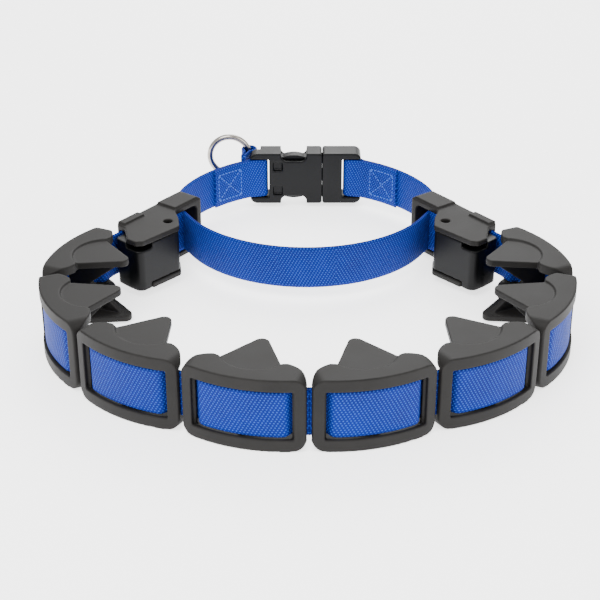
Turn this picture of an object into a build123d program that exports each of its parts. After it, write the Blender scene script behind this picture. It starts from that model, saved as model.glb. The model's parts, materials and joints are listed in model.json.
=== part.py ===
from build123d import *
import math
import os

# Martingale training collar: a chain of pronged plastic links on flat webbing, closed by two
# hinged end housings and a webbing control loop with a side-release buckle and a leash ring.
# Millimetres, +Z up. The collar lies flat; +Y runs from the front of the chain to the buckle.

os.makedirs("parts", exist_ok=True)

# ---- webbing ----
web_width = 19.0
web_thickness = 1.4
web_clearance = 0.3
overlap = 1.0

# ---- links ----
bar_height = 5.0
link_length = 46.9
link_gap = 0.95
face_radius = 60.0
face_wall = 2.0
end_bar_width = 4.05
window_slack = 1.0
plate_thickness = 4.0
ledge_reach = 1.2
ledge_width = 2.4
ledge_depth = 6.0
ledge_thickness = 1.6
end_face_run = 2.1
shoulder_half_width = 14.0
shoulder_depth = 14.8
shoulder_bulge = 1.6
prong_half_base = 11.8
prong_base_depth = 14.0
prong_apex_depth = 34.2
prong_tip_radius = 3.0
prong_drop = 0.8
prong_thickness = 2.8
step_radius = 13.6
rib_thickness = 2.6
rib_waist_depth = 13.0
rib_backlash = 0.02
corner_radius = 4.5
strap_inset = 1.0
bow_gap = 1.9
bow_run = 1.4

# ---- chain layout, front to back ----
link_headings = (15.9, 32.9, 66.4, 114.9)
housing_heading = 127.0
strap_half_gap = 0.6

# ---- end housings ----
housing_slack = 0.2
housing_plate = 2.4
housing_start = 7.4
end_slant = (7.0, 2.6)
end_bulge = (-0.8, 11.0)
end_corner = (-1.0, 16.0)
near_corner = (1.4, 18.4)
far_corner = (22.5, 20.4)
pin_corner = (28.6, 14.6)
gate_heel = 1.0
nose_radius = 2.2
loop_end = 52.2
slot_slack = 0.4
slot_corner = 2.6
loop_corner = 4.0
post_thickness = 3.0
tail_gap = 2.6
wall_across = 2.8
housing_corner = 1.4
foot_radius = 18.0
keeper_start = 8.4
keeper_width = 4.0
pin_inset = 1.4
loop_start = 33.4
loop_outer = 3.6
loop_inner = 8.4
loop_rise = 1.0
end_bar = 4.0
slot_start = 35.0
keeper_length = 12.6
keeper_rise = 1.2
pin_along = 23.3
pin_across = 13.0
pin_diameter = 4.0
pin_clearance = 0.05
pin_gap = 1.5
tail_run = 0.5
cap_inset = 0.8

# ---- gates ----
gate_clearance = 0.3
gate_inner = 2.2
gate_inset = 0.5
gate_corner = 2.4
recess_length = 8.0
recess_depth = 9.0
recess_height = 2.4
tooth_count = 4
tooth_start = 8.0
tooth_width = 1.2
tooth_depth = 0.8
tooth_pitch = 3.0
tail_across = 7.4
tail_end = 39.2

# ---- control loop ----
front_hold = (36.4, 15.2)
front_turn = 62.0
back_hold = (57.4, -8.6)
back_radius = 61.5
back_share = 0.52
fold_bite = 0.3
fold_drop = 1.1
turn_start = 40.4
turn_middle = 43.7
turn_run = 2.0
turn_gap = 2.2
turn_lift = 1.0
deform_gap = 0.4

# ---- buckle ----
buckle_setback = 90.5
buckle_thickness = 11.0
end_thickness = 6.6
female_left = -27.0
seam_x = 8.0
male_right = 27.0
ear_slack = 1.0
window_start = -12.0
window_end = 0.5
cavity_end = -15.5
cavity_height = 23.0
cavity_thickness = 6.6
strap_slot = 2.3
ring_notch = 5.0
strap_bar = 4.0
bar_thickness = 3.0
bar_inset = 5.0
ear_thickness = 3.0
buckle_corner = 3.4
window_corner = 3.0
seam_corner = 1.2
window_depth = 4.0
lug_x = -13.5
arm_height = 3.0
arm_length = 22.0
arm_inset = 1.0
pad_length = 14.0
pad_height = 6.4
arm_width = 5.6
tongue_height = 4.0
tongue_length = 16.0
lug_size = 4.6
lug_depth = 1.6
lug_spacing = 12.6
buckle_clearance = 0.3
seam_gap = 0.2

# ---- leash ring ----
ring_diameter = 22.0
ring_wire = 2.8
ring_reach = (-0.5, 5.2)
ring_rise = 8.0
tab_height = 8.0
tab_thickness = 1.2
tab_slack = 0.45
tab_share = 0.91
tab_lift = -0.3

# ---- values worked out from those above ----
pitch = link_length + link_gap
half_link = link_length / 2
window_length = link_length - 2 * end_bar_width
window_height = web_width + window_slack
link_height = window_height + 2 * bar_height
face_sag = face_radius - math.sqrt(face_radius**2 - half_link**2)
end_face_depth = face_sag + end_face_run
hinge_depth = face_sag + face_wall + web_clearance + web_thickness / 2
mid_z = link_height / 2
plate_z = link_height - plate_thickness
web_z = mid_z - web_width / 2
housing_height = web_width + housing_slack + 2 * housing_plate
slot_height = web_width + slot_slack
gate_height = housing_height - 2 * housing_plate - 2 * gate_clearance
housing_z = mid_z - housing_height / 2
buckle_height = web_width + ear_slack + 2 * ear_thickness
fold_width = strap_bar + 2 * (web_thickness + web_clearance)
fold_depth = bar_thickness + 2 * (web_thickness + web_clearance)


def travel(heading):
    """Unit step along the left side of the chain, away from the front hinge."""
    angle = math.radians(180 - heading)
    return Vector(math.cos(angle), math.sin(angle), 0)


chain = [Vector(0, 0, 0)]
for heading in link_headings:
    chain.append(chain[-1] + travel(heading) * pitch)
housing_step = travel(housing_heading)
housing_inward = Vector(housing_step.Y, -housing_step.X, 0)


def beside_housing(hold):
    """A point given along the left housing from its hinge, and towards the inside."""
    return chain[-1] + housing_step * hold[0] + housing_inward * hold[1]


front_end = beside_housing(front_hold)
front_side = math.radians(front_turn)
front_radius = -front_end.X / math.sin(front_side)
front_sag_y = front_end.Y - front_radius * (1 - math.cos(front_side))
buckle_y = chain[-1].Y + buckle_setback
ring_pivot = (female_left + ring_reach[0], buckle_y + ring_reach[1])
ring_centre_z = mid_z + ring_rise
ring_radius = (ring_diameter - ring_wire) / 2
ring_bow = ring_radius - math.sqrt(ring_radius**2 - tab_height**2 / 4)
wrap_radius = ring_wire / 2 + ring_bow + tab_slack

first_turn = math.radians(link_headings[0])
face_centre = pitch / 2 * math.sin(first_turn) + (face_radius - hinge_depth) * math.cos(first_turn)
collar_back = ring_pivot[1] + wrap_radius + tab_thickness
shift_y = -(face_centre - face_radius + collar_back) / 2


def spot(x, y):
    """A point given from the front hinge, in the collar's own frame."""
    return Vector(x, y + shift_y, 0)


def upright(origin, along):
    """A level plane at z 0 whose x runs along the given step."""
    return Plane(origin=origin, x_dir=along, z_dir=(0, 0, 1))


hinges = [spot(point.X, point.Y) for point in chain]
housing = upright(hinges[-1], housing_step)


def save(piece, name):
    piece.part.label = name
    export_step(piece.part, f"parts/{name}.step")


def save_pair(piece, name):
    """Write a left-hand piece and its mirror image."""
    save(piece, f"{name}_left")
    with BuildPart() as twin:
        mirror(piece.part, about=Plane.YZ)
    save(twin, f"{name}_right")


def from_face(u, depth):
    """A point on a link, by its place along the link and its depth behind the face."""
    return (u, depth - hinge_depth)


def in_housing(along, across):
    """A point on the left housing, by its place from the hinge and towards the inside."""
    return (along, -across)


# ---- links ----
def plate_outline(plane):
    corner = from_face(half_link, end_face_depth)
    shoulder = from_face(shoulder_half_width, shoulder_depth)
    base = from_face(prong_half_base, prong_base_depth)
    with BuildSketch(plane) as outline:
        with BuildLine():
            Line(from_face(half_link, face_sag), corner)
            SagittaArc(corner, shoulder, -shoulder_bulge)
            Line(shoulder, base)
            Line(base, from_face(0, prong_base_depth))
            mirror(about=Plane.YZ)
            ThreePointArc(
                from_face(-half_link, face_sag), from_face(0, 0), from_face(half_link, face_sag)
            )
        make_face()
    return outline.sketch


def prong_outline(plane):
    with BuildSketch(plane) as outline:
        with BuildLine():
            Polyline(
                from_face(-prong_half_base, prong_base_depth),
                from_face(0, prong_apex_depth),
                from_face(prong_half_base, prong_base_depth),
                from_face(0, face_wall + overlap),
                close=True,
            )
        make_face()
        fillet(outline.vertices().sort_by(Axis.Y)[-1], radius=prong_tip_radius)
    return outline.sketch


def wall_outline(plane):
    inner_sag = face_sag + face_wall
    with BuildSketch(plane) as outline:
        with BuildLine():
            outer = ThreePointArc(
                from_face(-half_link, face_sag), from_face(0, 0), from_face(half_link, face_sag)
            )
            inner = ThreePointArc(
                from_face(-half_link, inner_sag), from_face(0, face_wall), from_face(half_link, inner_sag)
            )
            Line(outer @ 0, inner @ 0)
            Line(outer @ 1, inner @ 1)
        make_face()
    return outline.sketch


def rib_outline(plane):
    front = strap_inset + web_thickness + rib_backlash - hinge_depth
    back = prong_apex_depth - 2 * prong_tip_radius - hinge_depth
    with BuildSketch(plane) as outline:
        with BuildLine():
            Polyline(
                (front, plate_thickness),
                (front, plate_z),
                (back, plate_z + overlap),
                (rib_waist_depth - hinge_depth, mid_z),
                (back, plate_thickness - overlap),
                close=True,
            )
        make_face()
    return outline.sketch


def build_link(place, name):
    ledge_middle = window_length / 2 - ledge_reach + ledge_width / 2
    step_centre = prong_base_depth + math.sqrt(step_radius**2 - prong_half_base**2)
    prong_z = link_height - prong_drop - prong_thickness
    rib_plane = Plane(origin=place.origin, x_dir=place.y_dir, z_dir=place.x_dir)
    face_origin = place.origin + Vector(0, 0, mid_z) - place.y_dir * (hinge_depth + overlap)
    face_plane = Plane(origin=face_origin, x_dir=place.x_dir, z_dir=place.y_dir)
    with BuildPart() as link:
        extrude(plate_outline(place.offset(plate_z)), amount=plate_thickness)
        with BuildSketch(place.offset(link_height)):
            with Locations(from_face(0, step_centre)):
                Circle(step_radius)
        extrude(amount=-prong_drop, mode=Mode.SUBTRACT)
        extrude(prong_outline(place.offset(prong_z)), amount=prong_thickness)
        mirror(about=Plane.XY.offset(mid_z))
        extrude(wall_outline(place), amount=link_height)
        with BuildSketch(place.offset(mid_z)):
            with Locations(from_face(0, 0)):
                Rectangle(window_length, 2 * (face_sag + face_wall + overlap))
        extrude(amount=window_height / 2, both=True, mode=Mode.SUBTRACT)
        with BuildSketch(place.offset(mid_z)):
            with Locations(from_face(ledge_middle, ledge_depth), from_face(-ledge_middle, ledge_depth)):
                Rectangle(ledge_width, ledge_thickness)
        extrude(amount=window_height / 2 + 2 * overlap, both=True)
        extrude(rib_outline(rib_plane), amount=rib_thickness / 2, both=True)
        with BuildSketch(face_plane):
            Rectangle(2 * link_length, 2 * link_height)
            RectangleRounded(link_length, link_height, corner_radius, mode=Mode.SUBTRACT)
        extrude(amount=shoulder_depth + 2 * overlap, mode=Mode.SUBTRACT)
    save(link, name)


def build_link_web(place, name):
    """Webbing through one link: behind the end bars, bowed out in the window."""
    line_radius = face_radius - strap_inset - web_thickness / 2
    bar_side = window_length / 2 - bow_gap
    bow_end = bar_side - bow_run
    bow_depth = face_radius - math.sqrt(line_radius**2 - bow_end**2)
    bow_top = strap_inset + web_thickness / 2
    web_end = pitch / 2 - strap_half_gap
    with BuildPart() as web:
        with BuildSketch(place.offset(web_z)):
            with BuildLine():
                Line((-web_end, 0), (-bar_side, 0))
                Line((-bar_side, 0), from_face(-bow_end, bow_depth))
                ThreePointArc(
                    from_face(-bow_end, bow_depth), from_face(0, bow_top), from_face(bow_end, bow_depth)
                )
                Line(from_face(bow_end, bow_depth), (bar_side, 0))
                Line((bar_side, 0), (web_end, 0))
            trace(line_width=web_thickness)
        extrude(amount=web_width)
    save(web, name)


for number, heading in enumerate(link_headings, start=1):
    middle = (hinges[number - 1] + hinges[number]) / 2
    step = travel(heading)
    twin_middle = Vector(-middle.X, middle.Y, 0)
    twin_step = Vector(-step.X, step.Y, 0)
    build_link(upright(middle, -step), f"link_left_{number}")
    build_link(upright(twin_middle, twin_step), f"link_right_{number}")
    build_link_web(upright(middle, -step), f"chain_webbing_left_{number}")
    build_link_web(upright(twin_middle, twin_step), f"chain_webbing_right_{number}")

# ---- end housings ----
def housing_outline(plane):
    with BuildSketch(plane) as outline:
        with BuildLine():
            Polyline(
                in_housing(housing_start, -wall_across),
                in_housing(loop_end, -loop_outer),
                in_housing(loop_end, loop_inner),
                in_housing(loop_start, loop_inner),
                in_housing(*pin_corner),
                in_housing(*far_corner),
                in_housing(*near_corner),
                in_housing(*end_corner),
                in_housing(*end_bulge),
                in_housing(*end_slant),
                close=True,
            )
        make_face()
        corners = outline.vertices().sort_by(Axis((0, 0, 0), housing.y_dir))
        fillet(corners[:5], radius=nose_radius)
        fillet(outline.vertices().sort_by(Axis((0, 0, 0), housing.y_dir))[-4:], radius=housing_corner)
    return outline.sketch


def gate_outline(plane):
    """The gate in plan, a little inside the plates, rounded off round its pin."""
    with BuildSketch(plane) as outline:
        with BuildLine():
            Polyline(
                in_housing(gate_heel, gate_inner),
                in_housing(pin_corner[0] - gate_inset, gate_inner),
                in_housing(pin_corner[0] - gate_inset, pin_corner[1] - gate_inset),
                in_housing(far_corner[0], far_corner[1] - gate_inset),
                in_housing(near_corner[0], near_corner[1] - gate_inset),
                in_housing(end_corner[0] + gate_inset, end_corner[1]),
                in_housing(end_bulge[0] + gate_inset, end_bulge[1]),
                close=True,
            )
        make_face()
        fillet(outline.vertices(), radius=gate_corner)
    return outline.sketch


slot_origin = housing.origin + Vector(0, 0, mid_z)
slot_plane = Plane(origin=slot_origin, x_dir=housing.x_dir, z_dir=-housing.y_dir)
bay_z = housing_z + housing_plate

with BuildPart() as yoke:
    extrude(housing_outline(housing.offset(housing_z)), amount=housing_height)
    with BuildSketch(housing.offset(bay_z)):
        with Locations(in_housing(0, far_corner[1] - web_thickness / 2 - web_clearance)):
            Rectangle(2 * (slot_start - post_thickness), 2 * far_corner[1])
    extrude(amount=housing_height - 2 * housing_plate, mode=Mode.SUBTRACT)
    with BuildSketch(housing.offset(housing_z)):
        with Locations(in_housing(0, far_corner[1] + gate_inner - gate_clearance)):
            Rectangle(2 * pin_along, 2 * far_corner[1])
        with Locations(in_housing(pin_along, pin_across)):
            Circle(foot_radius, mode=Mode.SUBTRACT)
    extrude(amount=housing_plate, mode=Mode.SUBTRACT)
    with BuildSketch(slot_plane):
        with Locations(((slot_start + loop_end - end_bar) / 2, 0)):
            RectangleRounded(loop_end - end_bar - slot_start, slot_height, slot_corner)
    extrude(amount=4 * loop_inner, both=True, mode=Mode.SUBTRACT)
    with BuildSketch(housing.offset(mid_z)):
        with Locations(in_housing(slot_start, tail_across)):
            Rectangle(2 * post_thickness + overlap, tail_gap)
    extrude(amount=slot_height / 2, both=True, mode=Mode.SUBTRACT)
    with BuildSketch(housing.offset(housing_z + housing_height)):
        with Locations(in_housing((loop_start + loop_end) / 2, (loop_inner - loop_outer) / 2)):
            Rectangle(loop_end - loop_start - 2 * cap_inset, loop_inner + loop_outer - 2 * cap_inset)
    extrude(amount=loop_rise)
    with BuildSketch(housing.offset(housing_z + housing_height)):
        with Locations(in_housing(keeper_start + keeper_length / 2, keeper_width / 2 - wall_across)):
            Rectangle(keeper_length, keeper_width)
    extrude(amount=keeper_rise)
    with BuildSketch(housing.offset(housing_z)):
        with Locations(in_housing(pin_along, pin_across)):
            Circle(pin_diameter / 2)
    extrude(amount=housing_height, mode=Mode.SUBTRACT)
    with BuildSketch(slot_plane):
        with Locations((0, loop_rise / 2)):
            Rectangle(4 * loop_end, 2 * housing_height)
            RectangleRounded(2 * loop_end, housing_height + loop_rise, loop_corner, mode=Mode.SUBTRACT)
    extrude(amount=4 * loop_inner, both=True, mode=Mode.SUBTRACT)
save_pair(yoke, "yoke")

with BuildPart() as gate:
    extrude(gate_outline(housing.offset(housing_z)), amount=housing_plate + gate_clearance + gate_height)
    with BuildSketch(housing.offset(housing_z)):
        with Locations(in_housing(pin_along, pin_across)):
            Circle(foot_radius + gate_clearance)
    extrude(amount=housing_plate + gate_clearance, mode=Mode.SUBTRACT)
    with BuildSketch(housing.offset(bay_z + gate_clearance)):
        for tooth in range(tooth_count):
            with Locations(in_housing(tooth_start + tooth * tooth_pitch, gate_inner)):
                Rectangle(tooth_width, 2 * tooth_depth)
    extrude(amount=gate_height)
    with BuildSketch(housing.offset(bay_z + gate_clearance + gate_height)):
        with Locations(in_housing(end_corner[0], near_corner[1])):
            Rectangle(2 * recess_length, 2 * recess_depth)
    extrude(amount=-recess_height, mode=Mode.SUBTRACT)
    with BuildSketch(housing.offset(bay_z)):
        with Locations(in_housing(pin_along, pin_across)):
            Circle(pin_diameter / 2 + pin_clearance)
    extrude(amount=housing_height, mode=Mode.SUBTRACT)
save_pair(gate, "gate")

with BuildPart() as gate_pin:
    with BuildSketch(housing.offset(housing_z + pin_inset)):
        with Locations(in_housing(pin_along, pin_across)):
            Circle(pin_diameter / 2)
    extrude(amount=housing_height - 2 * pin_inset)
save_pair(gate_pin, "gate_pin")

# The end of the chain webbing runs under the gate's teeth, round the pin and out into the slot.
with BuildPart() as chain_tail:
    with BuildSketch(housing.offset(web_z)):
        with BuildLine():
            Polyline(
                in_housing(strap_half_gap, 0),
                in_housing(pin_along + pin_diameter / 2 + pin_gap, 0),
                in_housing(slot_start - post_thickness - tail_run, tail_across),
                in_housing(tail_end, tail_across),
            )
        trace(line_width=web_thickness)
    extrude(amount=web_width)
save_pair(chain_tail, "chain_webbing_end")

# ---- control loop ----
front_middle = (
    -front_radius * math.sin(front_side / 2),
    front_sag_y + front_radius * (1 - math.cos(front_side / 2)),
)

with BuildPart() as control_front:
    with BuildSketch(Plane.XY.offset(web_z)):
        with BuildLine():
            ThreePointArc(
                spot(-deform_gap, front_sag_y), spot(*front_middle), spot(front_end.X, front_end.Y)
            )
        trace(line_width=web_thickness)
    extrude(amount=web_width)
save_pair(control_front, "control_front")

with BuildPart() as control_turn:
    with BuildSketch(housing.offset(web_z)):
        with BuildLine():
            Polyline(
                in_housing(turn_start, loop_inner + turn_run),
                in_housing(turn_middle, -loop_outer),
                in_housing(turn_middle + turn_run, -loop_outer - turn_gap),
                in_housing(loop_end + turn_run, -loop_outer - turn_gap - turn_lift),
            )
        trace(line_width=web_thickness)
    extrude(amount=web_width)
save_pair(control_turn, "control_turn")


def buckle_bar(side):
    """Centre of the bar that the webbing is folded round, on the left or the right."""
    bar_x = female_left + bar_inset if side < 0 else male_right - bar_inset
    return (bar_x, buckle_y - buckle_thickness / 2 + end_thickness / 2)


def back_circle(side):
    """Centre, first angle and sweep of the run from the housing to the buckle, as if on the left."""
    bar_x, bar_y = buckle_bar(side)
    start = beside_housing(back_hold)
    finish = Vector(-abs(bar_x) - fold_width / 2 + fold_bite, bar_y - fold_drop, 0)
    chord = finish - start
    rise = math.sqrt(back_radius**2 - chord.length**2 / 4)
    centre = (start + finish) / 2 + Vector(chord.Y, -chord.X, 0).normalized() * rise
    first = math.atan2(start.Y - centre.Y, start.X - centre.X)
    last = math.atan2(finish.Y - centre.Y, finish.X - centre.X)
    return centre, math.degrees(first), math.degrees(last - first)


def back_arc(side, radius, start_share, end_share):
    """A stretch of that run, between two shares of its length."""
    centre, first, sweep = back_circle(side)
    low = first + sweep * end_share
    size = -sweep * (end_share - start_share)
    middle = spot(side * -centre.X, centre.Y)
    if side < 0:
        return CenterArc(middle, radius, low, size)
    return CenterArc(middle, radius, 180 - low - size, size)


def build_back(side, name):
    with BuildPart() as run:
        with BuildSketch(Plane.XY.offset(web_z)):
            with BuildLine():
                back_arc(side, back_radius, 0, back_share)
            trace(line_width=web_thickness)
        extrude(amount=web_width)
    save(run, name)


def build_fold(side, name):
    """The doubled and sewn stretch, with the loop round the buckle's bar."""
    bar_x, bar_y = buckle_bar(side)
    with BuildPart() as fold:
        with BuildSketch(Plane.XY.offset(web_z)):
            with BuildLine():
                back_arc(side, back_radius - web_thickness / 2, back_share, 1)
            trace(line_width=2 * web_thickness)
            with Locations(spot(bar_x, bar_y)):
                Rectangle(fold_width, fold_depth)
                Rectangle(fold_width - 2 * web_thickness, fold_depth - 2 * web_thickness, mode=Mode.SUBTRACT)
        extrude(amount=web_width)
    save(fold, name)


build_back(-1, "control_back_left")
build_back(1, "control_back_right")
build_fold(-1, "sewn_fold_left")
build_fold(1, "sewn_fold_right")

# ---- buckle ----
buckle_face = Plane(origin=spot(0, buckle_y) + Vector(0, 0, mid_z), x_dir=(1, 0, 0), z_dir=(0, -1, 0))
back_cut = buckle_thickness / 2 - end_thickness


def block(left, right, low, high):
    """A rectangle on the buckle's face, given by its four sides."""
    with Locations(((left + right) / 2, (low + high) / 2)):
        return Rectangle(right - left, high - low)


half_buckle = buckle_height / 2
ear_inside = half_buckle - ear_thickness
female_body = female_left + bar_inset + strap_bar / 2 + strap_slot
male_body = male_right - bar_inset - strap_bar / 2 - strap_slot
window_middle = (window_start + window_end) / 2

with BuildPart() as female:
    with BuildSketch(buckle_face) as female_face:
        block(female_left, seam_x, -half_buckle, half_buckle)
        fillet(female_face.vertices().sort_by(Axis.X)[:2], radius=buckle_corner)
        fillet(female_face.vertices().sort_by(Axis.X)[-2:], radius=seam_corner)
        with Locations((window_middle, half_buckle), (window_middle, -half_buckle)):
            RectangleRounded(window_end - window_start, 2 * window_depth, window_corner, mode=Mode.SUBTRACT)
    extrude(amount=buckle_thickness / 2, both=True)
    with BuildSketch(buckle_face):
        block(female_left - overlap, female_body, -ear_inside, ear_inside)
    extrude(amount=buckle_thickness, both=True, mode=Mode.SUBTRACT)
    with BuildSketch(buckle_face.offset(back_cut)):
        block(female_left - overlap, female_left + ring_notch, -half_buckle, half_buckle)
    extrude(amount=-buckle_thickness, mode=Mode.SUBTRACT)
    with BuildSketch(buckle_face):
        block(cavity_end, seam_x + overlap, -cavity_height / 2, cavity_height / 2)
    extrude(amount=cavity_thickness / 2, both=True, mode=Mode.SUBTRACT)
    with BuildSketch(buckle_face.offset(buckle_thickness / 2)):
        with Locations((lug_x, lug_spacing / 2), (lug_x, -lug_spacing / 2)):
            Rectangle(lug_size, lug_size)
    extrude(amount=-lug_depth, mode=Mode.SUBTRACT)
    with BuildSketch(buckle_face.offset(buckle_thickness / 2 - end_thickness / 2)):
        with Locations((female_left + bar_inset, 0)):
            Rectangle(strap_bar, 2 * ear_inside + overlap)
    extrude(amount=bar_thickness / 2, both=True)
save(female, "buckle_female")

with BuildPart() as male:
    with BuildSketch(buckle_face) as male_face:
        block(seam_x + seam_gap, male_right, -half_buckle, half_buckle)
        fillet(male_face.vertices().sort_by(Axis.X)[:2], radius=seam_corner)
        fillet(male_face.vertices().sort_by(Axis.X)[-2:], radius=buckle_corner)
    extrude(amount=buckle_thickness / 2, both=True)
    with BuildSketch(buckle_face):
        block(male_body, male_right + overlap, -ear_inside, ear_inside)
    extrude(amount=buckle_thickness, both=True, mode=Mode.SUBTRACT)
    with BuildSketch(buckle_face.offset(buckle_thickness / 2 - end_thickness / 2)):
        with Locations((male_right - bar_inset, 0)):
            Rectangle(strap_bar, 2 * ear_inside + overlap)
    extrude(amount=bar_thickness / 2, both=True)
    with BuildSketch(buckle_face):
        block(seam_x - tongue_length, seam_x + 2 * overlap, -tongue_height / 2, tongue_height / 2)
        pad_top = cavity_height / 2 - buckle_clearance
        for arm_side in (1, -1):
            arm_middle = arm_side * (pad_top - arm_inset - arm_height / 2)
            with Locations((seam_x - arm_length / 2 + overlap, arm_middle)):
                Rectangle(arm_length + 2 * overlap, arm_height)
            with Locations((window_middle, arm_side * (pad_top - pad_height / 2))):
                Ellipse(pad_length / 2, pad_height / 2)
    extrude(amount=arm_width / 2, both=True)
save(male, "buckle_male")

# ---- leash ring and its tab ----
with BuildPart() as leash_ring:
    ring_middle = spot(ring_pivot[0] - ring_radius, ring_pivot[1]) + Vector(0, 0, ring_centre_z)
    with BuildSketch(Plane(origin=ring_middle, x_dir=(1, 0, 0), z_dir=(0, 0, 1))):
        with Locations((ring_radius, 0)):
            Circle(ring_wire / 2)
    revolve(axis=Axis(ring_middle, (0, 1, 0)))
save(leash_ring, "leash_ring")

tab_centre, tab_first, tab_sweep = back_circle(-1)
tab_angle = math.radians(tab_first + tab_sweep * tab_share)
tab_radius = back_radius + web_thickness / 2 + tab_thickness + tab_lift
tab_foot = tab_centre + Vector(math.cos(tab_angle), math.sin(tab_angle), 0) * tab_radius

with BuildPart() as ring_tab:
    with BuildSketch(Plane.XY.offset(ring_centre_z - tab_height / 2)):
        with Locations(spot(*ring_pivot)):
            Circle(wrap_radius + tab_thickness)
        with BuildLine():
            Line(spot(*ring_pivot), spot(tab_foot.X, tab_foot.Y))
        trace(line_width=2 * tab_thickness)
        with Locations(spot(*ring_pivot)):
            Circle(wrap_radius, mode=Mode.SUBTRACT)
    extrude(amount=tab_height)
save(ring_tab, "ring_tab")
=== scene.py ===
"""Looks of the training collar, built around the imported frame. Metres, +Z up."""
import json
import math

import bmesh
import bpy
import numpy as np
from mathutils import Matrix, Vector


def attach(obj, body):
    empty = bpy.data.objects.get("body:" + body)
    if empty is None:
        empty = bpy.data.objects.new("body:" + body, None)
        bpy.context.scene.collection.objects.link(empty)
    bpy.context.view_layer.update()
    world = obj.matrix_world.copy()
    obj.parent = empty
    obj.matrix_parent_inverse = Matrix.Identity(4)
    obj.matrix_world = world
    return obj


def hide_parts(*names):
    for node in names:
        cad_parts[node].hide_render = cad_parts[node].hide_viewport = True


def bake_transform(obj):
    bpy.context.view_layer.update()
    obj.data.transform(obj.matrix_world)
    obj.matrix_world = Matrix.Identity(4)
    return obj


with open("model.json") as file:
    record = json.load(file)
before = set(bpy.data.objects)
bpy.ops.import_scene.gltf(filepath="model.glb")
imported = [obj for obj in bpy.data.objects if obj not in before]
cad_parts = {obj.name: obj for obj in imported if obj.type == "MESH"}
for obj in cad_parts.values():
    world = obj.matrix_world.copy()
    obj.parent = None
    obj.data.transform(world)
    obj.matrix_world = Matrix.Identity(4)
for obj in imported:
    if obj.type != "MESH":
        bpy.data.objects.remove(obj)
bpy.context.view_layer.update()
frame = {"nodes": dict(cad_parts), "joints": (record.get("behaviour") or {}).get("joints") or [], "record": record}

MM = 0.001
JOINTS = {joint["name"]: joint for joint in frame["joints"]}
SIDES = (("left", 1), ("right", -1))
LINKS = (1, 2, 3, 4)

# ---- sizes, in millimetres ----
FACE_RADIUS = 60.0
HINGE_DEPTH = 7.77
STRAP_INSET = 1.0
BOW_END = 16.1
BAR_SIDE = 17.5
BAR_MIDDLE = 21.4
WEB_WIDTH = 19.0
WEB_THICKNESS = 1.4
WEB_MIDDLE_Z = 15.0
WEB_PITCH = 1.4
SCALLOP = 0.24
RING_STEP = 0.35
HOUSING_HEADING = 127.0
TAIL_ROUTE = ((0, 0), (26.8, 0), (31.5, 7.4), (39.2, 7.4))
SLOT_TURN = ((40.4, 6.6), (43.9, -1.0), (45.8, -4.8), (48.2, -6.2), (54.6, -7.3))
BAR_WRAP = ((2.6, 1.9), (0, 2.5), (-2.6, 2.0), (-3.2, 0), (-2.7, -1.9), (0, -2.6))
TAIL_MOUTH = 9.0
FRONT_HOLD = (36.4, 15.2)
FRONT_TURN = 62.0
BACK_HOLD = (57.4, -8.6)
BACK_RADIUS = 61.5
BACK_SHARE = 0.52
BUCKLE_BAR = (22.0, 214.65)
FOLD_END = (25.4, 213.55)
RING_PIVOT = (-27.5, 222.05)
RING_CENTRE_Z = 23.0
RING_RADIUS = 9.6
RING_WIRE = 1.4
TAB_FOOT = (-30.2, 212.9)
TAB_WRAP_RADIUS = 3.3
TAB_OPENING = 0.35
TAB_HALF_GAP = 0.62
TAB_WIDTH = 8.0
TAB_THICKNESS = 1.1
FRONT_LAP = ((-4.5, 2.6), (0, 1.5), (4.5, 2.6))

HOUSING_SHELLS = (("yoke", "link_plastic", 0.34, 4), ("gate", "buckle_plastic", 0.36, 7))
STITCH_PITCH = 1.9
STITCH_RADIUS = 0.26
STITCH_HALF_HEIGHT = 6.6
STITCH_SHARES = (0.56, 0.84)

# ---- camera ----
CAMERA_PLACE = (-4.63, -550.34, 294.4)
CAMERA_DROP = 28.03
CAMERA_TURN = 0.17
CAMERA_LENS = 86.9


# ---------------------------------------------------------------- helpers
def joint_point(name):
    return np.array(JOINTS[name]["pos_m"][:2]) / MM


def new_object(name, mesh):
    piece = bpy.data.objects.new(name, mesh)
    bpy.context.collection.objects.link(piece)
    return piece


def evaluated_mesh(piece):
    graph = bpy.context.evaluated_depsgraph_get()
    return bpy.data.meshes.new_from_object(piece.evaluated_get(graph))


def face_outwards(mesh, sharp_ends=False):
    tool = bmesh.new()
    tool.from_mesh(mesh)
    bmesh.ops.recalc_face_normals(tool, faces=tool.faces)
    if sharp_ends:
        for edge in tool.edges:
            edge.smooth = all(face.smooth for face in edge.link_faces)
    tool.to_mesh(mesh)
    tool.free()


def copy_of(node, name):
    """A new object holding a copy of one CAD node's mesh."""
    return new_object(name, frame["nodes"][node].data.copy())


def soften(piece, voxel, rounds, ratio):
    """Gives a hard-edged closed mesh the rounded edges of a moulding."""
    remesh = piece.modifiers.new("remesh", "REMESH")
    remesh.mode = "VOXEL"
    remesh.voxel_size = voxel * MM * 1
    smooth = piece.modifiers.new("smooth", "SMOOTH")
    smooth.factor = 0.5
    smooth.iterations = rounds
    thin = piece.modifiers.new("thin", "DECIMATE")
    thin.ratio = ratio
    mesh = evaluated_mesh(piece)
    piece.modifiers.clear()
    piece.data = mesh
    piece.data.polygons.foreach_set("use_smooth", [True] * len(mesh.polygons))
    return piece


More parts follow.
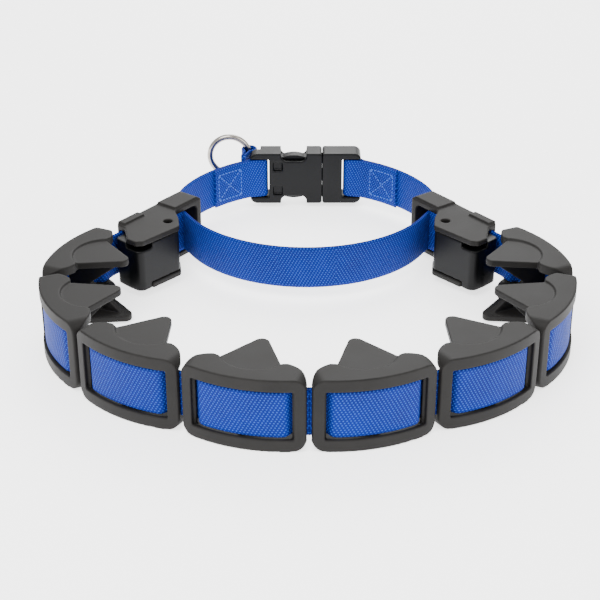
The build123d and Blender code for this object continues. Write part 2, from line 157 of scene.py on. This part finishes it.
# ---------------------------------------------------------------- materials
class Nodes:
    """Short names for building one material's node tree."""

    def __init__(self, name):
        self.material = bpy.data.materials.new(name)
        self.material.use_nodes = True
        self.tree = self.material.node_tree
        self.shader = self.tree.nodes["Principled BSDF"]

    def add(self, kind, **values):
        node = self.tree.nodes.new(kind)
        for key, value in values.items():
            if hasattr(node, key):
                setattr(node, key, value)
            else:
                node.inputs[key.replace("_", " ")].default_value = value
        return node

    def link(self, source, target):
        self.tree.links.new(source, target)

    def math(self, operation, first, second=None, third=None):
        node = self.tree.nodes.new("ShaderNodeMath")
        node.operation = operation
        for index, value in enumerate((first, second, third)):
            if value is None:
                continue
            if isinstance(value, (int, float)):
                node.inputs[index].default_value = value
            else:
                self.link(value, node.inputs[index])
        return node.outputs[0]

    def ramp(self, factor, *stops):
        node = self.tree.nodes.new("ShaderNodeValToRGB")
        while len(node.color_ramp.elements) < len(stops):
            node.color_ramp.elements.new(0.5)
        for element, (place, colour) in zip(node.color_ramp.elements, stops):
            element.position = place
            element.color = (*colour, 1)
        self.link(factor, node.inputs[0])
        return node.outputs[0]

    def noise(self, scale, detail=4.0, roughness=0.5):
        node = self.tree.nodes.new("ShaderNodeTexNoise")
        node.inputs["Scale"].default_value = scale
        node.inputs["Detail"].default_value = detail
        node.inputs["Roughness"].default_value = roughness
        place = self.tree.nodes.new("ShaderNodeTexCoord")
        self.link(place.outputs["Object"], node.inputs["Vector"])
        return node.outputs["Fac"]

    def bump(self, height, strength, distance):
        node = self.tree.nodes.new("ShaderNodeBump")
        node.inputs["Strength"].default_value = strength
        node.inputs["Distance"].default_value = distance
        self.link(height, node.inputs["Height"])
        self.link(node.outputs[0], self.shader.inputs["Normal"])


def moulded_plastic(name, dark, light, rough_low, rough_high, grain):
    nodes = Nodes(name)
    mottle = nodes.noise(90.0, 5.0)
    fine = nodes.noise(grain, 3.0, 0.6)
    nodes.link(nodes.ramp(mottle, (0.3, dark), (0.75, light)), nodes.shader.inputs["Base Color"])
    spread = nodes.math("MULTIPLY_ADD", mottle, rough_high - rough_low, rough_low)
    nodes.link(spread, nodes.shader.inputs["Roughness"])
    nodes.shader.inputs["Specular IOR Level"].default_value = 0.16
    nodes.bump(fine, 0.25, 0.0001)
    return nodes.material


def webbing_material():
    nodes = Nodes("blue_webbing")
    place = nodes.add("ShaderNodeUVMap", uv_map="strap")
    split = nodes.add("ShaderNodeSeparateXYZ")
    nodes.link(place.outputs[0], split.inputs[0])
    along = split.outputs[0]
    across = split.outputs[1]
    row_height = 0.95
    row = nodes.math("FLOOR", nodes.math("DIVIDE", across, row_height))
    row_place = nodes.math("FRACT", nodes.math("DIVIDE", across, row_height))
    shifted = nodes.math("MULTIPLY_ADD", row, 0.36, nodes.math("DIVIDE", along, WEB_PITCH))
    column_place = nodes.math("FRACT", shifted)
    over = nodes.math("ABSOLUTE", nodes.math("SUBTRACT", column_place, 0.5))
    up = nodes.math("ABSOLUTE", nodes.math("SUBTRACT", row_place, 0.5))
    distance = nodes.math("ADD", nodes.math("POWER", nodes.math("MULTIPLY", over, 3.2), 2.0),
                          nodes.math("POWER", nodes.math("MULTIPLY", up, 2.4), 2.0))
    dot = nodes.math("SUBTRACT", 1.0, nodes.math("MINIMUM", distance, 1.0))
    ribs = nodes.math("SINE", nodes.math("MULTIPLY", across, 2 * math.pi / row_height))
    cross = nodes.math("SINE", nodes.math("MULTIPLY", along, 4 * math.pi / WEB_PITCH))
    height = nodes.math("MULTIPLY_ADD", ribs, 0.16, nodes.math("MULTIPLY_ADD", cross, 0.12, dot))
    fuzz = nodes.noise(2600.0, 2.0)
    height = nodes.math("MULTIPLY_ADD", fuzz, 0.35, height)
    shade = nodes.noise(60.0, 3.0)
    base = nodes.ramp(shade, (0.3, (0.0, 0.007, 0.13)), (0.7, (0.0, 0.011, 0.18)))
    # the raised yarn crossings of the weave are painted light blue: partly the weave's own pattern, partly a
    # painted highlight where the raised yarn catches the light
    mix = nodes.add("ShaderNodeMix", data_type="RGBA")
    nodes.link(nodes.math("MULTIPLY", nodes.math("POWER", dot, 1.6), 0.62), mix.inputs[0])
    nodes.link(base, mix.inputs[6])
    mix.inputs[7].default_value = (0.035, 0.15, 0.68, 1)
    nodes.link(mix.outputs[2], nodes.shader.inputs["Base Color"])
    nodes.shader.inputs["Roughness"].default_value = 0.62
    nodes.shader.inputs["Sheen Weight"].default_value = 0.02
    nodes.shader.inputs["Sheen Roughness"].default_value = 0.45
    nodes.shader.inputs["Sheen Tint"].default_value = (0.45, 0.55, 1.0, 1)
    nodes.shader.inputs["Specular IOR Level"].default_value = 0.12
    nodes.bump(height, 0.85, 0.00016)
    return nodes.material


def thread_material():
    nodes = Nodes("blue_thread")
    twist = nodes.noise(3000.0, 2.0)
    nodes.link(nodes.ramp(twist, (0.3, (0.010, 0.075, 0.42)), (0.7, (0.03, 0.13, 0.60))),
               nodes.shader.inputs["Base Color"])
    nodes.shader.inputs["Roughness"].default_value = 0.55
    nodes.bump(twist, 0.6, 0.0001)
    return nodes.material


def metal_material(name, dark, light):
    nodes = Nodes(name)
    haze = nodes.noise(160.0, 4.0)
    nodes.link(nodes.ramp(haze, (0.35, dark), (0.7, light)), nodes.shader.inputs["Base Color"])
    nodes.shader.inputs["Metallic"].default_value = 1.0
    nodes.link(nodes.math("MULTIPLY_ADD", haze, 0.14, 0.10), nodes.shader.inputs["Roughness"])
    nodes.bump(nodes.noise(1200.0, 2.0), 0.08, 0.00005)
    return nodes.material


LINK_PLASTIC = moulded_plastic(
    "link_plastic", (0.0075, 0.0069, 0.0064), (0.0125, 0.0116, 0.0107), 0.5, 0.62, 2400.0)
HARD_PLASTIC = moulded_plastic(
    "buckle_plastic", (0.0012, 0.0013, 0.0016), (0.0028, 0.0030, 0.0034), 0.3, 0.42, 1800.0)
WEBBING = webbing_material()
THREAD = thread_material()
NICKEL = metal_material("nickel_plate", (0.27, 0.25, 0.225), (0.40, 0.375, 0.345))
# near-black steel for the gate pins: painted shade, the darkness stands in for the shadow the pins sit in
SHADED_PIN_STEEL = metal_material("pin_steel_painted_shade", (0.010, 0.010, 0.011), (0.022, 0.022, 0.024))

SLOTS = {
    "link_plastic": LINK_PLASTIC,
    "buckle_plastic": HARD_PLASTIC,
    "webbing": WEBBING,
    "ring_metal": NICKEL,
}


def dress(piece, slot, material=None):
    piece.data.materials.clear()
    piece.data.materials.append(material or SLOTS[slot])
    return piece


# ---------------------------------------------------------------- camera, light and floor
def make_camera():
    data = bpy.data.cameras.new("camera")
    data.lens = CAMERA_LENS
    data.sensor_width = 36
    camera = bpy.data.objects.new("camera", data)
    camera.location = [value * MM for value in CAMERA_PLACE]
    camera.rotation_euler = (math.radians(90 - CAMERA_DROP), 0, math.radians(-CAMERA_TURN))
    bpy.context.collection.objects.link(camera)
    bpy.context.scene.camera = camera


def area_light(name, place, size, power, aim=(0, 0, 0)):
    data = bpy.data.lights.new(name, "AREA")
    data.shape = "DISK"
    data.size = size
    data.energy = power
    light = bpy.data.objects.new(name, data)
    light.location = place
    light.rotation_euler = (Vector(aim) - Vector(place)).to_track_quat("-Z", "Y").to_euler()
    bpy.context.collection.objects.link(light)


def make_stage():
    bpy.ops.mesh.primitive_plane_add(size=6, location=(0, 0, -0.0002))
    floor = bpy.context.object
    floor.name = "floor"
    nodes = Nodes("floor_paper")
    tone = nodes.noise(3.0, 2.0)
    nodes.link(nodes.ramp(tone, (0.0, (0.93, 0.93, 0.93)), (1.0, (0.95, 0.95, 0.95))),
               nodes.shader.inputs["Base Color"])
    nodes.shader.inputs["Roughness"].default_value = 0.8
    nodes.shader.inputs["Emission Color"].default_value = (1, 1, 1, 1)
    nodes.shader.inputs["Emission Strength"].default_value = 2.0
    floor.data.materials.append(nodes.material)
    world = bpy.data.worlds.new("studio")
    world.use_nodes = True
    world.node_tree.nodes["Background"].inputs[0].default_value = (1, 1, 1, 1)
    world.node_tree.nodes["Background"].inputs[1].default_value = 1.3
    bpy.context.scene.world = world
    area_light("key", (-0.35, -0.45, 0.9), 0.7, 10.0)
    area_light("fill", (0.7, -0.6, 0.6), 0.8, 5.0)
    area_light("back", (0.1, 0.9, 0.8), 0.9, 12.0)


# ---------------------------------------------------------------- webbing
def web_section(width, thickness):
    """Points of the strap's cross-section as (across, out) pairs, thinned towards the selvages."""
    columns = 26
    half = width / 2
    edge = thickness / 2
    level = [(-half + width * k / columns, edge) for k in range(columns + 1)]
    level += [(half - width * k / columns, -edge) for k in range(columns + 1)]
    section = []
    for across, out in level:
        inset = max(0.0, abs(across) - (half - edge)) / edge
        section.append((across, out * max(math.sqrt(max(0.0, 1 - inset * inset)), 0.25)))
    return section


class Line:
    """A level centre line through points in millimetres, resampled evenly and smoothed."""

    def __init__(self, path, rounding=12):
        path = np.array(path, float)
        lengths = np.concatenate([[0], np.cumsum(np.linalg.norm(np.diff(path, axis=0), axis=1))])
        count = int(round(lengths[-1] / RING_STEP)) + 1
        self.along = np.linspace(0, lengths[-1], count)
        points = np.stack([np.interp(self.along, lengths, path[:, k]) for k in (0, 1)], 1)
        for _ in range(rounding):
            points[1:-1] = (points[:-2] + 2 * points[1:-1] + points[2:]) / 4
        direction = np.gradient(points, axis=0)
        direction /= np.linalg.norm(direction, axis=1)[:, None]
        self.points = points
        self.out = np.stack([direction[:, 1], -direction[:, 0]], 1)

    def index(self, point):
        """The sample nearest to a point."""
        return int(np.argmin(np.linalg.norm(self.points - np.array(point), axis=1)))


def strap(name, line, first=0, last=None, sign=1, width=WEB_WIDTH, thickness=WEB_THICKNESS,
          middle_z=WEB_MIDDLE_Z):
    """A stretch of flat webbing standing on edge along a centre line; sign -1 mirrors it."""
    last = len(line.points) - 1 if last is None else last
    section = web_section(width, thickness)
    half = width / 2
    count = len(section)
    verts = []
    for index in range(first, last + 1):
        point, out_dir, s = line.points[index], line.out[index], line.along[index]
        scallop = SCALLOP * (abs(math.sin(math.pi * s / WEB_PITCH)) - 0.6)
        for across, out in section:
            edge = max(0.0, abs(across) / half - 0.86) / 0.14
            height = across + math.copysign(scallop * edge, across)
            x, y = point + out_dir * out
            verts.append((sign * x * MM, y * MM, (middle_z + height) * MM))
    rings = last - first + 1
    faces = []
    for ring in range(rings - 1):
        for k in range(count):
            a = ring * count + k
            b = ring * count + (k + 1) % count
            faces.append((a, b, b + count, a + count))
    faces.append(tuple(reversed(range(count))))
    faces.append(tuple(range((rings - 1) * count, rings * count)))
    mesh = bpy.data.meshes.new(name)
    mesh.from_pydata(verts, [], faces)
    layer = mesh.uv_layers.new(name="strap")
    for polygon in mesh.polygons:
        polygon.use_smooth = polygon.index < len(faces) - 2
        for corner in polygon.loop_indices:
            ring, k = divmod(mesh.loops[corner].vertex_index, count)
            layer.data[corner].uv = (line.along[first + ring], section[k][0] + half)
    face_outwards(mesh, sharp_ends=True)
    return dress(new_object(name, mesh), "webbing")


# ---------------------------------------------------------------- the collar's geometry
def chain_pivots():
    """Hinge points of the left side in millimetres, from the front junction back."""
    back = [joint_point(name) for name in
            ("chain_flex", "link_left_2_bend", "link_left_3_bend", "link_left_4_bend")]
    pitch = np.linalg.norm(back[1] - back[0])
    front = np.array([0.0, back[0][1] - math.sqrt(pitch**2 - back[0][0] ** 2)])
    return [front] + back, pitch


PIVOTS, PITCH = chain_pivots()
HALF_PITCH = PITCH / 2


class Place:
    """A level frame: a point, a direction along and one across, to the left of it."""

    def __init__(self, origin, along):
        self.origin = np.array(origin, float)
        self.along = np.array(along, float) / np.linalg.norm(along)
        self.across = np.array([-self.along[1], self.along[0]])

    def at(self, u, v):
        return self.origin + self.along * u + self.across * v


def link_place(number):
    near, far = PIVOTS[number - 1], PIVOTS[number]
    return Place((near + far) / 2, near - far)


HOUSING_ANGLE = math.radians(180 - HOUSING_HEADING)
HOUSING = Place(PIVOTS[-1], (math.cos(HOUSING_ANGLE), math.sin(HOUSING_ANGLE)))


def in_housing(along, across):
    return HOUSING.at(along, -across)


def spot(x, y):
    """A point given from the front junction."""
    return np.array([x, y + PIVOTS[0][1]])


def bow(u):
    """Where the webbing lies at place u along a link, measured inwards from the hinge line."""
    line = FACE_RADIUS - STRAP_INSET - WEB_THICKNESS / 2
    if abs(u) <= BOW_END:
        return FACE_RADIUS - math.sqrt(line**2 - u * u) - HINGE_DEPTH
    share = min(1.0, (abs(u) - BOW_END) / (BAR_SIDE - BOW_END))
    return bow(BOW_END) * (1 - share)


def chain_line():
    """The chain's webbing on the left side: from the front junction into the housing's slot."""
    path = []
    for number in LINKS:
        place = link_place(number)
        path += [place.at(u, bow(u)) for u in np.linspace(HALF_PITCH, -HALF_PITCH, 160)[:-1]]
    path += [in_housing(*place) for place in TAIL_ROUTE]
    return Line(path, 16)


def arc_points(centre, radius, first, last, count=60):
    angles = np.linspace(first, last, count)
    return [centre + radius * np.array([math.cos(a), math.sin(a)]) for a in angles]


def back_circle():
    """Centre and end angles of the run from the left housing to the buckle."""
    start = in_housing(*BACK_HOLD)
    finish = spot(-FOLD_END[0], FOLD_END[1])
    chord = finish - start
    length = np.linalg.norm(chord)
    inward = np.array([chord[1], -chord[0]]) / length
    centre = (start + finish) / 2 + inward * math.sqrt(BACK_RADIUS**2 - length**2 / 4)
    return centre, [math.atan2(p[1] - centre[1], p[0] - centre[0]) for p in (start, finish)]


def control_line():
    """The control strap on the left side: front middle, housing slot, back run, buckle bar, cut end."""
    front_end = in_housing(*FRONT_HOLD)
    turn = math.radians(FRONT_TURN)
    radius = -front_end[0] / math.sin(turn)
    sag = front_end[1] - radius * (1 - math.cos(turn))
    path = [
        np.array([-radius * math.sin(a), sag + radius * (1 - math.cos(a))])
        for a in np.linspace(0, turn, 80)
    ]
    path += [in_housing(*place) for place in SLOT_TURN]
    centre, (first, last) = back_circle()
    sweep = last - first
    path += arc_points(centre, BACK_RADIUS, first, first + sweep * 0.93)
    x, y = BUCKLE_BAR
    path += [spot(-x - dx, y + dy) for dx, dy in BAR_WRAP]
    path += arc_points(centre, inner_layer()[1], first + sweep * 0.97, first + sweep * BACK_SHARE)
    return Line(path, 14)


def inner_layer():
    """Centre, radius and end angles of the sewn layer that lies inside the back run."""
    centre, (first, last) = back_circle()
    return centre, BACK_RADIUS - WEB_THICKNESS - 0.1, first, last


# ---------------------------------------------------------------- pieces
def flat_matrix(along, origin):
    return Matrix(((along[0], -along[1], 0, origin[0] * MM), (along[1], along[0], 0, origin[1] * MM),
                   (0, 0, 1, 0), (0, 0, 0, 1)))


def make_links():
    pattern = soften(copy_of("link_left_1", "link_pattern"), 0.32, 5, 0.35)
    home = link_place(1)
    pattern.data.transform(flat_matrix(home.along, home.origin).inverted())
    for side, sign in SIDES:
        for number in LINKS:
            place = link_place(number)
            mesh = pattern.data.copy()
            along = (place.along[0], place.along[1] * sign)
            origin = (place.origin[0] * sign, place.origin[1])
            mesh.transform(flat_matrix(along, origin))
            link = dress(new_object(f"pronged_link_{side}_{number}", mesh), "link_plastic")
            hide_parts(f"link_{side}_{number}")
            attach(link, f"link_{side}_{number}")
    bpy.data.objects.remove(pattern)


def make_chain_webbing():
    line = chain_line()
    marks = {n: [line.index(link_place(n).at(u, 0)) for u in (BAR_MIDDLE, -BAR_MIDDLE)] for n in LINKS}
    mouth = line.index(in_housing(TAIL_MOUTH, 0))
    for side, sign in SIDES:
        tongue = strap(f"front_webbing_{side}", line, 0, marks[1][0], sign)
        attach(tongue, f"link_{side}_1")
        for number in LINKS:
            first, last = marks[number]
            window = strap(f"window_webbing_{side}_{number}", line, first, last, sign)
            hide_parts(f"chain_webbing_{side}_{number}")
            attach(window, f"link_{side}_{number}")
            onward = marks[number + 1][0] if number < LINKS[-1] else mouth
            crossing = strap(f"hinge_webbing_{side}_{number}", line, last, onward, sign)
            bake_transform(crossing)
        end = strap(f"chain_tail_{side}", line, mouth, None, sign)
        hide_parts(f"chain_webbing_end_{side}")
        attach(end, f"yoke_{side}")
    lap = Line([PIVOTS[0] + np.array(place) for place in FRONT_LAP], 12)
    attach(strap("front_lap", lap), "link_left_1")


def make_control_loop():
    line = control_line()
    centre, (first, last) = back_circle()
    near_middle = line.index((-12.0, line.points[0][1] + 1.3))
    slot_in = line.index(in_housing(*FRONT_HOLD))
    slot_out = line.index(in_housing(*BACK_HOLD))
    cut_angle = first + (last - first) * BACK_SHARE
    cut = line.index(centre + BACK_RADIUS * np.array([math.cos(cut_angle), math.sin(cut_angle)]))
    for side, sign, hub in (("left", 1, "root"), ("right", -1, "buckle_male")):
        yoke = f"yoke_{side}"
        front = strap(f"control_strap_front_{side}", line, near_middle, slot_in, sign)
        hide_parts(f"control_front_{side}")
        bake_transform(front)
        turn = strap(f"control_strap_turn_{side}", line, slot_in, slot_out, sign)
        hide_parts(f"control_turn_{side}")
        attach(turn, yoke)
        back = strap(f"control_strap_back_{side}", line, slot_out, cut, sign)
        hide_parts(f"control_back_{side}")
        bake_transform(back)
        fold = strap(f"sewn_loop_{side}", line, cut, None, sign)
        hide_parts(f"sewn_fold_{side}")
        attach(fold, hub)
    mirrored = [(-x, y) for x, y in line.points[near_middle:0:-1]]
    middle = Line(mirrored + [tuple(point) for point in line.points[:near_middle + 1]], 0)
    piece = strap("control_strap_front_middle", middle)
    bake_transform(piece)


def stitch_row(start, end):
    """Middles and half vectors of the stitches in one row, in millimetres along and up."""
    start, end = np.array(start), np.array(end)
    length = np.linalg.norm(end - start)
    count = max(1, int(round(length / STITCH_PITCH)))
    step = (end - start) / count
    return [(start + step * (k + 0.5), step * 0.38) for k in range(count)]


def make_stitching():
    """The box and cross that hold each fold of the control strap."""
    centre, radius, first, last = inner_layer()
    sweep = last - first
    low, high = WEB_MIDDLE_Z - STITCH_HALF_HEIGHT, WEB_MIDDLE_Z + STITCH_HALF_HEIGHT
    near, far = STITCH_SHARES[0] * abs(sweep) * radius, STITCH_SHARES[1] * abs(sweep) * radius
    corners = ((near, low), (far, low), (far, high), (near, high))
    rows = [stitch_row(corners[k], corners[(k + 1) % 4]) for k in range(4)]
    rows += [stitch_row(corners[0], corners[2]), stitch_row(corners[1], corners[3])]
    face_radius = radius - WEB_THICKNESS / 2
    for side, sign, hub in (("left", 1, "root"), ("right", -1, "buckle_male")):
        verts, faces = [], []
        for middle, half in (stitch for row in rows for stitch in row):
            unit = half / np.linalg.norm(half)
            normal = np.array([-unit[1], unit[0]])
            base = len(verts)
            for t in np.linspace(-1, 1, 7):
                swell = math.sqrt(max(0.0, 1 - t**4)) * 0.9 + 0.1
                for k in range(8):
                    turn = k * math.pi / 4
                    place = middle + half * t + normal * (STITCH_RADIUS * swell * math.cos(turn))
                    lift = STITCH_RADIUS * swell * math.sin(turn) + 0.05 * (1 - t * t)
                    angle = first + math.copysign(place[0] / radius, sweep)
                    reach = face_radius - lift
                    verts.append((sign * (centre[0] + reach * math.cos(angle)) * MM,
                                  (centre[1] + reach * math.sin(angle)) * MM, place[1] * MM))
            for ring in range(6):
                for k in range(8):
                    a, b = base + ring * 8 + k, base + ring * 8 + (k + 1) % 8
                    faces.append((a, b, b + 8, a + 8))
            faces.append(tuple(range(base + 7, base - 1, -1)))
            faces.append(tuple(range(base + 48, base + 56)))
        mesh = bpy.data.meshes.new("stitching")
        mesh.from_pydata(verts, [], faces)
        face_outwards(mesh)
        mesh.polygons.foreach_set("use_smooth", [True] * len(mesh.polygons))
        piece = dress(new_object(f"stitching_{side}", mesh), "webbing", THREAD)
        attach(piece, hub)


def make_hard_parts():
    for side, _ in SIDES:
        for node, slot, voxel, rounds in HOUSING_SHELLS:
            shell = soften(copy_of(f"{node}_{side}", f"{node}_shell_{side}"), voxel, rounds, 0.4)
            piece = dress(shell, slot)
            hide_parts(f"{node}_{side}")
            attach(piece, f"{node}_{side}")
    for node, body in (("buckle_female", "root"), ("buckle_male", "buckle_male")):
        piece = dress(soften(copy_of(node, f"{node}_shell"), 0.3, 6, 0.4), "buckle_plastic")
        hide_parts(node)
        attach(piece, body)


def make_ring():
    bpy.ops.mesh.primitive_torus_add(major_radius=RING_RADIUS * MM, minor_radius=RING_WIRE * MM,
                                     major_segments=96, minor_segments=28)
    ring = bpy.context.object
    ring.name = "nickel_ring"
    pivot = spot(*RING_PIVOT)
    place = Matrix.Translation(((pivot[0] - RING_RADIUS) * MM, pivot[1] * MM, RING_CENTRE_Z * MM))
    ring.data.transform(place @ Matrix.Rotation(math.radians(90), 4, "X"))
    ring.data.polygons.foreach_set("use_smooth", [True] * len(ring.data.polygons))
    dress(ring, "ring_metal")
    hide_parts("leash_ring")
    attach(ring, "leash_ring")
    foot = spot(*TAB_FOOT)
    heading = (pivot - foot) / np.linalg.norm(pivot - foot)
    side = np.array([heading[1], -heading[0]])
    back = math.atan2(-heading[1], -heading[0])
    wrap = arc_points(pivot, TAB_WRAP_RADIUS, back + TAB_OPENING, back + 2 * math.pi - TAB_OPENING, 40)
    apart = side * math.copysign(TAB_HALF_GAP, np.dot(wrap[0] - foot, side))
    path = [foot + apart] + wrap + [foot - apart]
    tab = strap("ring_tab_loop", Line(path, 6), width=TAB_WIDTH, thickness=TAB_THICKNESS,
                middle_z=RING_CENTRE_Z)
    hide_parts("ring_tab")
    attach(tab, "root")


make_camera()
make_stage()
make_links()
make_chain_webbing()
make_control_loop()
make_stitching()
make_hard_parts()
make_ring()

for subpart in frame["record"]["subparts"]:
    item = frame["nodes"][subpart["node"]]
    # the gate pins sit in shadow and get the near-black steel as painted shade
    shadowed = subpart["node"].startswith("gate_pin")
    item.data.materials.clear()
    item.data.materials.append(SHADED_PIN_STEEL if shadowed else SLOTS[subpart["material_slot"]])
